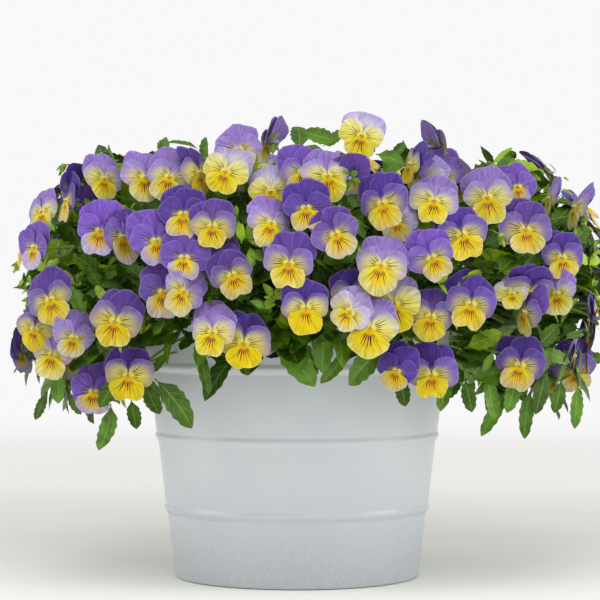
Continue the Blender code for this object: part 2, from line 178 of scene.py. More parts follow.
def tubeSheets(controls, startRadius, endRadius, steps, sides):
    # closed tubes along cubic curves: ring = path(t) + radius(t) * (cos f * n1 + sin f * n2)
    t = np.concatenate([[0], np.linspace(0, 1, steps), [1]])[None, :, None]
    capped = np.concatenate([[0.02], np.ones(steps), [0.02]])[None, :, None]
    a, b, c, d = (controls[:, None, i] for i in range(4))
    path = a * (1 - t) ** 3 + 3 * b * t * (1 - t) ** 2 + 3 * c * t ** 2 * (1 - t) + d * t ** 3
    run = unit(3 * (b - a) * (1 - t) ** 2 + 6 * (c - b) * t * (1 - t) + 3 * (d - c) * t ** 2)
    guide = np.broadcast_to(unit(np.cross(controls[:, 3] - controls[:, 0], [0.31, 0.83, 0.46]))[:, None],
                            run.shape)
    first = unit(np.cross(run, guide))
    second = np.cross(run, first)
    radius = capped * (startRadius[:, None, None] * (1 - t) + endRadius[:, None, None] * t)
    turn = np.linspace(0, 2 * np.pi, sides, endpoint=False)[None, None, :, None]
    rings = path[:, :, None] + radius[:, :, None] * (
        np.cos(turn) * first[:, :, None] + np.sin(turn) * second[:, :, None])
    return rings.reshape(-1, 3), gridFaces(len(controls), steps + 2, sides, closed=True)


# the camera stands level with the rim, straight in front

cameraSettings = {"place": (2.2 * mm, -1600 * mm, 200 * mm), "lens": 131.5}


def buildCamera():
    data = bpy.data.cameras.new("front camera")
    data.lens = cameraSettings["lens"]
    data.sensor_width = 36
    camera = bpy.data.objects.new("front camera", data)
    camera.location = cameraSettings["place"]
    camera.rotation_euler = (np.pi / 2, 0, 0)
    bpy.context.scene.collection.objects.link(camera)
    bpy.context.scene.camera = camera


# the tub: pressed sheet steel with three rounded beads and a rolled rim, baked white enamel

tubSettings = {
    "sides": 192,
    "flare": 0.115,             # growth of the radius with height
    "beads": [50, 101.5, 152.5],    # heights, mm
    "beadTall": 9,
    "beadProud": 1.5,
    "beadStep": 0.8,            # the wall is a little wider above each bead
    "curl": 3.0,                # outer radius of the rolled rim, mm
    "sheet": 1.2,
    "footRound": 1.2,
    "enamel": "#CCD1D6",
    "enamelShade": "#C6CCD2",
    # painted shade: the colour that darkens the lower wall towards the foot
    "dust": "#A2A8AC",
    "dustTop": 100,             # the painted shade on the lower wall ends here, mm
    "dustShare": 0.95,          # of the painted shade's colour at the foot
    # sizes of the colour clouds, specks and pressing waves, mm
    "cloud": 71.4,
    "speck": 2.38,
    "wave": 35.7,
}


def tubRadius(height, foot):
    # outer radius at a height, both mm: foot + flare * height + beads;
    # a bead is proud * cos^2 of its profile, and a step outwards
    radius = foot + tubSettings["flare"] * height
    for middle in tubSettings["beads"]:
        off = (height - middle) / tubSettings["beadTall"]
        swell = np.where(np.abs(off) < 0.5, np.cos(np.pi * np.clip(off, -0.5, 0.5)) ** 2, 0)
        step = np.clip(off + 0.5, 0, 1)
        radius = radius + tubSettings["beadProud"] * swell + tubSettings["beadStep"] * step
    return radius


def enamelMaterial():
    # baked enamel on pressed steel: a hard glassy white coat with a soft gloss, a faint waviness
    # from the pressing, and painted shade that darkens the lower wall towards the foot
    constants = {"IOR": 1.5, "Coat Weight": 0.25, "Coat Roughness": 0.18}
    material, shader, add = newMaterial("baked white enamel on pressed steel", constants)
    place = add("object place")
    height = add("split", place)[2]
    cloud = add("noise", place, grainScale(tubSettings["cloud"]), 4.0)
    speck = add("noise", place, grainScale(tubSettings["speck"]), 2.0)
    wave = add("noise", place, grainScale(tubSettings["wave"]), 1.0)
    enamel, shade, dust = (linearColour(tubSettings[key]) for key in ("enamel", "enamelShade", "dust"))
    tone = add("mix", add("fade", cloud, 0.35, 0.7), enamel, shade)
    # painted shade: the lower wall darkens towards the foot, broken a little by the specks
    low = add("fade", height, -10 * mm, tubSettings["dustTop"] * mm, tubSettings["dustShare"], 0.0)
    tone = add("mix", add("multiply", low, add("fade", speck, 0.3, 0.7, 0.8, 1.0)), tone, dust)
    setInputs(shader, {"Base Color": tone, "Roughness": add("fade", speck, 0.3, 0.7, 0.30, 0.42),
                       "Normal": add("bump", wave, 0.12, 0.6 * mm)})
    return material


def buildTub(enamel):
    # a profile of (radius, height) turned about Z: foot, outer wall, rolled rim, inner wall
    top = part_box("tub_wall")[1]
    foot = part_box("tub_base")[1][0] / mm + tubSettings["sheet"] + 0.6
    height = top[2] / mm
    curl = tubSettings["curl"]
    low = tubSettings["footRound"]
    wallTop = height - curl
    corner = np.linspace(-np.pi / 2, 0, 5)
    outer = [(foot - low + low * np.cos(f), low + low * np.sin(f)) for f in corner]
    levels = [np.linspace(middle - 6, middle + 6, 25) for middle in tubSettings["beads"]]
    levels = np.sort(np.concatenate([*levels, np.linspace(3, wallTop - curl - 1, 24)]))
    outer += list(zip(tubRadius(levels, foot), levels))
    middle = tubRadius(np.array(wallTop), foot) + curl - tubSettings["sheet"]
    turns = np.radians(np.linspace(-124, 180, 20))    # from under the curl, round outside, to its inner edge
    outer += [(middle + curl * np.cos(f), wallTop + curl * np.sin(f)) for f in turns]
    inner = np.linspace(wallTop, 1.7, 16)
    outer += list(zip(tubRadius(inner, foot) - tubSettings["sheet"], inner))
    outer += [(foot - tubSettings["sheet"], 0.0), (foot - low, 0.0)]
    profile = np.array(outer) * mm
    turn = np.linspace(0, 2 * np.pi, tubSettings["sides"], endpoint=False)
    points = np.stack([profile[:, :1] * np.cos(turn), profile[:, :1] * np.sin(turn),
                       np.broadcast_to(profile[:, 1:], (len(profile), len(turn)))], -1)
    part = {"points": points.reshape(-1, 3), "faces": gridFaces(1, len(profile), len(turn), True)}
    tub = meshPiece("enamelled_tub", [part], [enamel])
    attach(tub, "root")
    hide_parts("tub_wall")
    base = frame["nodes"]["tub_base"]
    for slot in base.material_slots:
        slot.material = enamel
    print("tub built")


# potting soil: moist peat with bark crumbs and white perlite, heaped a little in the middle

soilSettings = {
    "rings": 40,
    "around": 128,
    "lump": 2.2,                # height of the lumps, mm
    "waves": (26, 15, 9, 6),    # their spacings, mm
    "heap": 4,                  # mm
    "taper": 0.82,              # radius at the bottom, of that at the top
    "crumb": 3.85,              # mm
    "grain": 1.667,             # mm
    "peat": "#2B1D14",
    "bark": "#5A4330",
    "perlite": "#D9D5C8",
}


def soilMaterial():
    # peat and composted bark: matt dark crumbs of 2 to 6 mm, with a few white perlite grains
    material, shader, add = newMaterial("moist peat potting mix", {"Roughness": 0.95, "IOR": 1.4})
    place = add("object place")
    distance, colour = add("crumbs", place, grainScale(soilSettings["crumb"]))
    grain = add("noise", place, grainScale(soilSettings["grain"]), 5.0)
    peat, bark, perlite = (linearColour(soilSettings[key]) for key in ("peat", "bark", "perlite"))
    tone = add("mix", grain, peat, bark)
    tone = add("mix", add("fade", add("red", colour), 0.93, 0.95), tone, perlite)
    setInputs(shader, {"Base Color": tone, "Normal": add("bump", distance, 0.8, 1.5 * mm)})
    return material


def buildSoil():
    # top: z = level + heap * (1 - s^2) + lumps, a sum of short waves; s runs from 0 to 1 at the wall
    low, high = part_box("potting_soil")
    radius = high[0]
    random = np.random.default_rng(5)
    share = np.linspace(0.004, 1, soilSettings["rings"])[::-1]
    turn = np.linspace(0, 2 * np.pi, soilSettings["around"], endpoint=False)
    x = radius * share[:, None] * np.cos(turn)
    y = radius * share[:, None] * np.sin(turn)
    lumps = np.zeros_like(x)
    waves = soilSettings["waves"]
    for spacing in waves:
        for heading, phase in random.uniform(0, 2 * np.pi, (3, 2)):
            run = x * np.cos(heading) + y * np.sin(heading)
            lumps += np.sin(2 * np.pi * run / (spacing * mm) + phase) * spacing / waves[0] / 3
    edge = np.clip((1 - share[:, None]) / 0.06, 0, 1)    # the lumps fade out at the wall
    heap = soilSettings["heap"] * (1 - share[:, None] ** 2)
    z = high[2] + (soilSettings["lump"] * lumps * edge + heap - 1) * mm
    foot = np.array([[radius * soilSettings["taper"], low[2]], [0.0005, low[2]]])
    top = np.stack([x, y, z], -1)
    sides = np.stack([foot[:, :1] * np.cos(turn), foot[:, :1] * np.sin(turn),
                      np.broadcast_to(foot[:, 1:], (2, len(turn)))], -1)
    points = np.concatenate([sides[::-1], top]).reshape(-1, 3)
    part = {"points": points, "faces": gridFaces(1, len(share) + 2, len(turn), True)}
    soil = meshPiece("potting_mix", [part], [soilMaterial()])
    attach(soil, "root")
    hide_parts("potting_soil")
    print("soil built")


# the mound of plants, worked out from the whole model's box

moundSettings = {
    "wide": highCorner[0] - 3 * mm,
    "left": 3 * mm - lowCorner[0],
    "deep": (highCorner[1] - lowCorner[1]) / 2 * 0.977,
    "level": highCorner[2] * 0.656,
    "above": highCorner[2] * 0.418,
    "below": highCorner[2] * 0.381,
    "power": 2.2,
}


def moundShare(level):
    # what is left of the mound's plan at a level: 1 - (rise / span) ^ power
    rise = level - moundSettings["level"]
    span = np.where(rise > 0, moundSettings["above"], moundSettings["below"])
    return np.clip(1 - (np.abs(rise) / span) ** moundSettings["power"], 0.02, 1)


def moundDepth(x, level):
    # how far the front of the mound lies before the axis: deep * (share - (x / wide) ^ power) ^ (1 / power)
    power = moundSettings["power"]
    share = np.clip(moundShare(level) - (np.abs(x) / moundSettings["wide"]) ** power, 0.02, 1)
    return moundSettings["deep"] * share ** (1 / power)


def moundPoints(angle, level):
    # points of the mound's surface; the angle is the compass from the front towards +X, in radians
    power = moundSettings["power"]
    wide = np.where(np.sin(angle) > 0, moundSettings["wide"], moundSettings["left"])
    spread = (np.abs(np.sin(angle)) / wide) ** power
    spread = spread + (np.abs(np.cos(angle)) / moundSettings["deep"]) ** power
    radius = (moundShare(level) / spread) ** (1 / power)
    return np.stack([radius * np.sin(angle), -radius * np.cos(angle), level + 0 * angle], -1)


def shrunk(points, share):
    # the same heights, nearer to the axis
    return points * np.stack([share, share, np.ones_like(share)], -1)


# violas: five petals each, two above, one at each side and a lip

petalSettings = {
    "columns": 13,
    "rows": 6,
    # for each petal: angle from the bloom's top, half spread (degrees), reach (mm), roundness, forward and
    # bend at the edge (mm), notch, whiskers, orange, lean (1 or -1: the lower side), looseness, ruffle (mm)
    "shapes": [
        (-26, 72, 20.4, 0.50, -3.2, -2.2, 0.00, 0.35, 0.0, 0, 1.8, 1.1),
        (25, 72, 20.0, 0.50, -2.3, -1.8, 0.00, 0.35, 0.0, 0, 1.2, 1.0),
        (-75, 65, 16.4, 0.40, -0.8, -0.9, 0.00, 0.95, 0.05, -1, 0.4, 0.5),
        (75, 65, 16.4, 0.40, -0.4, -0.9, 0.00, 0.95, 0.05, 1, 0.4, 0.5),
        (180, 70, 16.8, 0.32, 0.6, 0.6, 0.10, 1.00, 1.0, 0, 0.5, 0.7),
    ],
    "eyeOpening": 0.05,
    "lean": 0.42,               # a side petal's lower side is so much more yellow, its upper so much less
    "scale": 0.955,             # petals curl in a little from their full reach
    "spurLong": 9,              # on a bloom of size 1, mm
    "leastLip": 0.88,           # how yellow a lip is at least
    "upperMix": 0.45,           # a side petal's upper side takes this much of the colour above it,
    "lowerMix": 0.75,           # and its lower side this much of the lip's
    # knobs at the eye: right, up and forward (mm), radius, colour
    "knobs": [(-1.1, 0.8, 0.4, 0.62, "#F2EAAE"), (1.1, 0.8, 0.4, 0.62, "#F2EAAE"),
              (0, -0.2, 0.3, 0.85, "#B9B23C")],
}

# the drawing on a petal
petalSkin = {
    "hem": "#EDE6F2",
    "lavenderHem": "#A494C2",
    "throat": "#E08600",
    "ring": "#E6CE40",
    "whisker": "#1E0C1E",
    "darkVein": 0.70,           # brightness of the veins, and between them
    "paleVein": 1.12,
    "veinDeep": 0.35,           # mm
    "whiskersPerRadian": 4.6,
    "whiskersApart": 3.7,       # at the petal's edge, mm
    "whiskerStart": (0.17, 0.30),    # fades in, as shares of the petal
    "whiskerLength": (0.42, 0.34),   # the shortest, and how much longer the longest
    "whiskerHalf": (0.52, 0.64),     # half widths on the side petals and the lip, mm
}

# each tone: edge and heart of the upper petals, the side petals and the lip, and how far each heart reaches
petalTones = {
    "deep": [("#4A3088", "#3E2470", 0.5), ("#705AA4", "#C6C070", 0.68), ("#CEBC38", "#CEB800", 0.92)],
    "violet": [("#6C4AA8", "#5E3C96", 0.4), ("#765EAE", "#A09EA2", 0.52), ("#AFA2C4", "#D0BA00", 0.74)],
    "lavender": [("#8A6EB8", "#A892C6", 0.5), ("#988AC2", "#D0CC84", 0.74), ("#D0CA8A", "#D6C200", 0.84)],
    "cream": [("#9E8CC2", "#D2CEC2", 0.55), ("#C2BCD4", "#DAD47A", 0.84), ("#D8D290", "#D8C400", 0.84)],
    # dusk: a darker, duller copy of the lavender and violet tones, painted shade for blooms that sit in
    # shadow
    "dusk": [("#593C8E", "#624884", 0.5), ("#7969A2", "#BCB66A", 0.66), ("#C4B86A", "#CCB400", 0.82)],
}

# how yellow the face is, for the modelled blooms of the front in order; the others vary by chance
yellowShares = [1.25, 1.2, 0.9, 1.0, 0.45, 0.6, 0.6, 0.7, 0.5, 0.75, 0.95, 0.95, 1.1, 1.2,
                1.25, 1.0, 1.0, 0.85, 0.85, 0.8, 1.0, 0.75, 0.75, 1.1, 1.1, 0.5, 0.95, 0.9]


def petalMaterial():
    # living petal tissue: velvety cells give a matt skin with a soft sheen; fine veins and dark
    # whisker lines run out from the eye, over an orange and yellow heart
    constants = {"Roughness": 0.62, "IOR": 1.4, "Sheen Weight": 0.08, "Sheen Roughness": 0.5,
                 "Specular IOR Level": 0.22}
    material, shader, add = newMaterial("velvety viola petal", constants)
    hem, throat, yellow, dark = (linearColour(petalSkin[key])
                                 for key in ("hem", "throat", "ring", "whisker"))
    edge = add("colour attribute", attribute_name="edgeColour")
    heart = add("colour attribute", attribute_name="heartColour")
    angle, along, seed = add("split", add("attribute", attribute_name="petalPlace"))
    reach, whiskers, orange = add("split", add("attribute", attribute_name="petalTraits"))
    off = add("absolute", angle)
    # veins: noise drawn out along the petal, about a millimetre across half way out
    around = add("join", add("multiply", angle, 9.0), add("multiply", along, 1.3),
                 add("multiply", seed, 40.0))
    veins = add("noise", around, 1.4, 3.0, 0.6)
    blotch = add("noise", around, 0.35, 1.0)
    ragged = add("add", along, add("multiply", add("subtract", veins, 0.5), 0.7))
    spread = add("fade", ragged, add("multiply", reach, 0.55), add("multiply", reach, 1.5))
    tone = add("mix", spread, heart, edge)
    shade = add("multiply", add("fade", veins, 0.3, 0.7, petalSkin["darkVein"], petalSkin["paleVein"]),
                add("fade", blotch, 0.3, 0.7, 0.92, 1.06))
    tone = add("tint", 1.0, tone, add("gray", shade, shade, shade))
    # a pale hem along the last millimetre
    tone = add("mix", add("fade", along, 0.93, 1.0, 0.0, 0.09), tone, hem)
    # orange throat: strongest at the eye, in the middle of the lip
    warm = add("multiply", add("fade", ragged, 0.15, 0.80, 0.72, 0.0),
               add("fade", off, 0.15, 0.90, 1.0, 0.0))
    tone = add("mix", add("multiply", warm, orange), tone, throat)
    # a yellow ring round the eye on the side petals
    ringEnd = add("add", add("multiply", reach, 0.5), 0.14)
    ring = add("multiply", add("fade", along, 0.12, ringEnd, 1.0, 0.0), whiskers)
    ring = add("multiply", ring, add("fade", orange, 0.5, 0.9, 0.8, 0.0))
    tone = add("mix", ring, tone, yellow)
    # whiskers: lines 0.22 radian apart, 0.8 mm wide near the eye, each of its own length
    wander = add("multiply", add("subtract", blotch, 0.5), 0.9)
    lines = add("add", add("multiply", angle, petalSkin["whiskersPerRadian"]), wander)
    chance = add("chance", add("add", add("round", lines), add("multiply", seed, 91.0)))
    shortest, longer = petalSkin["whiskerLength"]
    length = add("add", add("multiply", chance, longer), shortest)
    away = add("multiply", add("pingpong", lines, 0.5), add("multiply", along, petalSkin["whiskersApart"]))
    taper = add("maximum", add("subtract", 1.0, add("divide", along, length)), 0.0)
    width = add("multiply", add("power", taper, 0.6),
                add("fade", orange, 0.3, 0.9, *petalSkin["whiskerHalf"]))
    line = add("fade", away, add("multiply", width, 0.6), add("add", width, 0.001))
    line = add("subtract", 1.0, line)
    for share in (add("fade", along, *petalSkin["whiskerStart"]), add("fade", off, 0.6, 0.78, 1.0, 0.0),
                  add("fade", taper, 0.0, 0.12), whiskers):
        line = add("multiply", line, share)
    tone = add("mix", line, tone, dark)
    setInputs(shader, {"Base Color": tone, "Normal": add("bump", veins, 0.65, petalSkin["veinDeep"] * mm)})
    return material


def nodePoints(node):
    # the corners of a CAD node's mesh
    mesh = frame["nodes"][node].data
    points = np.empty(len(mesh.vertices) * 3)
    mesh.vertices.foreach_get("co", points)
    return points.reshape(-1, 3)


def facing(turn, tilt, spin):
    # rows X, Y, Z of a bloom's frame: Z is its facing, Y its top, X the viewer's right; angles in degrees
    turn, tilt, spin = (np.radians(np.asarray(angle, float)) for angle in (turn, tilt, spin))
    none = np.zeros_like(turn)
    out = np.stack([np.sin(turn) * np.cos(tilt), -np.cos(turn) * np.cos(tilt), np.sin(tilt)], -1)
    up = np.stack([-np.sin(turn) * np.sin(tilt), np.cos(turn) * np.sin(tilt), np.cos(tilt)], -1)
    right = np.stack([np.cos(turn), np.sin(turn), none], -1)
    cosine, sine = np.cos(spin)[..., None], np.sin(spin)[..., None]
    return np.stack([cosine * right - sine * up, sine * right + cosine * up, out], -2)


def cadBloomFrame(node):
    # eye, frame and size of a CAD bloom from its own corners: a rim in one plane, and a spur behind the eye
    points = np.unique(nodePoints(node).round(6), axis=0)
    axis = np.linalg.svd(points - points.mean(0))[2][2]
    far = (points - points.mean(0)) @ axis
    tip = points[np.abs(far).argmax()]
    across = np.linalg.norm(np.cross(points - tip, axis), axis=1)
    rim = points[across > 0.5 * across.max()]
    axis = np.linalg.svd(rim - rim.mean(0))[2][2]
    axis = axis * np.sign((rim.mean(0) - tip) @ axis)
    across = np.linalg.norm(np.cross(points - tip, axis), axis=1)
    across[np.linalg.norm(points - tip, axis=1) < 1 * mm] = 1
    eye = points[across.argmin()]
    up = rim.mean(0) - tip
    up = unit(up - (up @ axis) * axis)
    size = np.linalg.norm(eye - tip) / (petalSettings["spurLong"] * mm)
    return eye, np.stack([np.cross(up, axis), up, axis]), size


def petalParts(eyes, frames, sizes, tones, random, yellow=None):
    # all petals of these blooms as one part. With u = -1 to 1 across, a = half * u, and v = 0 at the eye
    # to 1 at the edge: r = reach * v * cos(1.4 u)^round * (1 - notch), at the angle middle + a from the top,
    # z = forward * sqrt(v) + bend * (r / reach)^2 + cup * (r / 18)^2 + ruffle * v^3 * sin(k a + phase)
    count = len(eyes)
    rows, columns = petalSettings["rows"], petalSettings["columns"]
    shapes = np.array(petalSettings["shapes"])
    middle, half, reach, roundness, forward, bend, notch, whiskers, orange, lean, loose, ruffled = (
        np.broadcast_to(shapes[:, i], (count, 5))[..., None, None] for i in range(12))

    def vary(spread):
        return random.normal(0, spread, (count, 5))[..., None, None]

    v = np.linspace(0, 1, rows) ** 0.85
    v = (petalSettings["eyeOpening"] + (1 - petalSettings["eyeOpening"]) * v)[None, None, :, None]
    u = np.linspace(-1, 1, columns)[None, None, None, :]
    a = np.radians(half) * u
    cleft = (notch * random.uniform(0, 2.2, (count, 1, 1, 1))) * np.exp(-(a / 0.22) ** 2) * v ** 4
    r = reach * (1 + vary(0.05)) * v * np.cos(u * 1.4) ** (roundness + vary(0.04)) * (1 - cleft)
    r = r * (1 + 0.04 * np.sin(7 * a + vary(3)) * v ** 3)
    way = np.radians(middle + vary(3.5)) + a
    ruffle = ruffled * (0.6 + np.abs(vary(0.5))) * v ** 3 * np.sin((3.6 + vary(0.8)) * a + vary(3))
    cup = random.normal(-0.6, 1.8, (count, 1, 1, 1))
    z = (forward * np.sqrt(v) + (bend - loose * np.abs(vary(1.0))) * (r / reach) ** 2
         + cup * (r / 18) ** 2 + ruffle)
    scale = petalSettings["scale"] * sizes[:, None, None, None, None]
    local = np.stack([r * np.sin(way), r * np.cos(way), z + 0 * r], -1) * mm * scale
    points = eyes[:, None, None, None] + np.einsum("npric,nck->nprik", local, frames)

    def spread(values):
        return np.broadcast_to(values, (count, 5, rows, columns)).reshape(-1)

    seed = random.uniform(0, 1, (count, 5))[..., None, None]
    place = np.stack([spread(a), spread(v), spread(seed)], -1)
    rowsOf = [[petalTones[tone][kind] for kind in (0, 0, 1, 1, 2)] for tone in tones]
    edge, heart = (np.array([[linearColour(petal[i]) for petal in bloom] for bloom in rowsOf])
                   for i in (0, 1))
    reached = np.array([[petal[2] for petal in bloom] for bloom in rowsOf])
    chance = random.normal(0.92, 0.25, (count, 1)).clip(0.4, 1.3)
    yellow = chance if yellow is None else np.full((count, 1), yellow)
    reached = reached * yellow * random.normal(1, 0.07, (count, 5))
    reached[:, 4] *= np.maximum(yellow[:, 0], petalSettings["leastLip"]) / yellow[:, 0]
    swap = random.uniform(-0.25, 0.3, (count, 1, 1)).clip(0)
    neighbour = edge[random.permutation(count)]
    edge = edge * (1 - swap) + neighbour * swap
    edge[..., :3] *= random.normal(1, 0.09, (count, 1, 1))
    heart[..., :3] *= random.normal(1, 0.06, (count, 1, 1))
    # a bloom with little yellow has dark side petals and a lavender hem on its lip
    dark = np.clip((1 - yellow) * 1.4, 0, 0.85)
    edge[:, 2:4] += (edge[:, :1] - edge[:, 2:4]) * dark[..., None]
    edge[:, 4] += (np.array(linearColour(petalSkin["lavenderHem"])) - edge[:, 4]) * dark
    heart[:, 2:4] += (edge[:, :1] - heart[:, 2:4]) * dark[..., None] * 0.5
    # side petals: the upper side takes the colour of the petals above, the lower side that of the lip
    lower = lean * u
    edge, heart = edge[:, :, None, None], heart[:, :, None, None]
    upperShare = petalSettings["upperMix"] * np.clip(-lower, 0, 1)[..., None]
    lowerShare = petalSettings["lowerMix"] * np.clip(lower + 0.35 * np.abs(lean), 0, 1)[..., None]
    edge = edge * (1 - upperShare) + edge[:, :1] * upperShare
    heart = heart * (1 - lowerShare) + heart[:, 4:] * lowerShare
    reached = reached[..., None, None] * (1 + petalSettings["lean"] * lower)
    traits = np.stack([spread(reached), spread(whiskers), spread(orange)], -1)
    colours = [np.broadcast_to(c, (count, 5, rows, columns, 4)).reshape(-1, 4) for c in (edge, heart)]
    return {"points": points.reshape(-1, 3), "faces": gridFaces(count * 5, rows, columns),
            "petalPlace": place, "petalTraits": traits, "edgeColour": colours[0], "heartColour": colours[1]}


def knobPart(eyes, frames, sizes):
    # the two pale tufts of the beard, and the green knob of the pistil below them: short closed tubes
    count = len(petalSettings["knobs"])
    rows = np.array([knob[:4] for knob in petalSettings["knobs"]])
    colour = np.array([linearColour(knob[4]) for knob in petalSettings["knobs"]])
    middle = eyes[:, None] + np.einsum("kc,ncd->nkd", rows[:, :3] * mm, frames) * sizes[:, None, None]
    middle = middle.reshape(-1, 3)
    out = np.repeat(frames[:, 2], count, axis=0) * mm
    radius = np.tile(rows[:, 3], len(eyes)) * mm * np.repeat(sizes, count)
    controls = np.stack([middle - out, middle - out * 0.4, middle + out * 0.4, middle + out], 1)
    steps, sides = 3, 6
    points, faces = tubeSheets(controls, radius, radius * 0.8, steps, sides)
    colours = np.repeat(np.tile(colour, (len(eyes), 1)), (steps + 2) * sides, axis=0)
    return {"points": points, "faces": faces, "petalPlace": np.tile([1.3, 0.5, 0.5], (len(points), 1)),
            "petalTraits": np.tile([1.0, 0.0, 0.0], (len(points), 1)),
            "edgeColour": colours, "heartColour": colours}


# blooms between the modelled ones, on the front: x and z of the eye in mm, how far behind the mound's
# surface, the turn to the right, the tilt upwards and the clockwise spin in degrees, size and tone
frontBlooms = [
    (-38, 298, 0, -5, 12, -15, 1.0, "lavender"), (-99, 280, 0, 30, 8, 10, 1.0, "lavender"),
    (-171, 259, 0, -40, 5, -10, 0.9, "lavender"), (-153, 266, 0, -65, 5, 0, 1.0, "deep"),
    (-54, 247, 0, 0, 0, 0, 1.0, "dusk"), (-90, 238, 0, 12, 0, -8, 1.1, "violet"),
    (-16, 249, 0, 25, 5, 15, 1.0, "lavender"), (4, 283, 0, 0, 8, 0, 1.0, "violet"),
    (20, 280, 0, 20, 0, -5, 1.05, "lavender"), (25, 242, 0, 10, 0, -25, 1.0, "dusk"),
    (-41, 216, 0, 5, 0, -20, 0.9, "dusk"), (34, 192, 0, 10, 0, 40, 0.95, "cream"),
    (-54, 179, 0, -20, 0, 0, 1.0, "lavender"), (107, 242, 0, 5, 3, -15, 1.1, "deep"),
    (87, 227, 0, 0, -10, -25, 1.05, "violet"), (173, 204, 0, -30, 0, -10, 0.95, "lavender"),
    (87, 189, 8, 0, -5, 8, 1.0, "dusk"), (65, 154, 0, -10, -5, 20, 0.9, "deep"),
    (-176, 180, 0, -20, -5, 10, 0.95, "dusk"), (-147, 175, 0, 25, -5, 15, 0.95, "lavender"),
    (-190, 164, 0, -120, -10, 0, 0.95, "violet"), (-86, 205, 6, 0, -5, 5, 1.1, "dusk"),
    (-72, 205, 0, 30, -5, 40, 0.95, "lavender"), (147, 275, 0, 20, 8, -5, 0.9, "violet"),
    (154, 206, 4, 10, -50, 0, 1.0, "deep"), (189, 263, 0, -75, 10, 0, 1.05, "lavender"),
    (169, 268, 0, -80, 5, 0, 0.85, "lavender"), (95, 302, 6, 112, 10, 0, 1.05, "lavender"),
    (74, 289, 4, -70, 10, 10, 0.9, "deep"), (95, 283, 14, 10, 10, 0, 1.0, "violet"),
    (108, 280, 20, 150, 10, 0, 0.9, "cream"), (-20, 304, 8, -112, 10, 0, 0.95, "lavender"),
    (-17, 270, 14, 0, 5, 0, 0.95, "cream"), (-147, 277, 6, -140, 15, 0, 0.9, "deep"),
    (-113, 241, 6, 50, 0, 0, 1.05, "violet"), (-136, 262, 21, 170, 0, 0, 0.8, "violet"),
    (35, 280, 10, 175, 20, 0, 0.9, "violet"), (63, 197, 14, 0, 0, 0, 1.15, "cream"),
    (150, 192, 4, -70, 0, 20, 1.05, "violet"), (142, 204, 10, -10, 0, 0, 0.7, "cream"),
    (200, 186, 0, -95, -5, 0, 1.0, "deep"), (36, 203, 14, 20, 10, 0, 0.9, "deep"),
    (-50, 225, 16, -30, 15, -20, 0.95, "violet"), (-63, 283, 6, 60, 5, 0, 1.0, "deep"),
    (65, 251, 14, 10, 5, 0, 0.95, "cream"), (85, 278, 18, -20, 8, 0, 0.9, "cream"),
]

ringSettings = {
    "tries": 2600,
    "apart": 28.5,              # mm
    "lowest": 138,
    "highest": 300,
    "fromFront": 72,            # degrees each way left to the front blooms
    "depth": 0.97,              # of the mound's surface
    "left": 0.92,               # the mound is narrower on the left
    "shoulder": (135, 270),     # no bloom is both further out and higher than this, mm
    # the top of the mound is a low dome between the rings: half width and depth, height, fall, foremost, mm
    "dome": (120, 110, 302, 14, 95),
    "sizes": (0.85, 1.1),
    "toneShares": [0.27, 0.2, 0.27, 0.1, 0.16],
    "seed": 12,
}


def ringBlooms(taken):
    # round the sides, the back and the top: random places on the mound, each kept only if no bloom is
    # nearer than the stated distance
    random = np.random.default_rng(ringSettings["seed"])
    tries = ringSettings["tries"]
    fromFront = ringSettings["fromFront"]
    angle = random.uniform(np.radians(fromFront), np.radians(360 - fromFront), tries)
    level = random.uniform(ringSettings["lowest"], ringSettings["highest"], tries) * mm
    places = shrunk(moundPoints(angle, level), ringSettings["depth"])
    places[:, 0] *= np.where(places[:, 0] < 0, ringSettings["left"], 1.0)
    out, high = ringSettings["shoulder"]
    places = places[(np.abs(places[:, 0]) < out * mm) | (places[:, 2] < high * mm)]
    tries = len(places)
    way = random.uniform(0, 2 * np.pi, tries // 3)
    out = np.sqrt(random.uniform(0, 1, tries // 3))
    wide, deep, tall, fall, foremost = ringSettings["dome"]
    dome = np.stack([wide * out * np.sin(way), -deep * out * np.cos(way), tall - fall * out ** 2], -1) * mm
    dome = dome[dome[:, 1] > -foremost * mm]
    places = np.concatenate([places, dome])
    isDome = np.arange(len(places)) >= tries
    kept = []
    eyes = list(taken)
    for number in random.permutation(len(places)):
        gaps = np.linalg.norm(np.array(eyes) - places[number], axis=1)
        if gaps.min() > ringSettings["apart"] * mm:
            eyes.append(places[number])
            kept.append(number)
    chosen = places[kept]
    turn = np.degrees(np.arctan2(chosen[:, 0], -chosen[:, 1])) + random.normal(0, 22, len(kept))
    slope = 62 * (chosen[:, 2] / mm - 200) / 100
    tilt = np.where(isDome[kept], random.uniform(35, 70, len(kept)), slope.clip(-15, 50))
    frames = facing(turn, tilt, random.normal(0, 14, len(kept)))
    tones = [list(petalTones)[i] for i in random.choice(5, len(kept), p=ringSettings["toneShares"])]
    return chosen, frames, random.uniform(*ringSettings["sizes"], len(kept)), tones


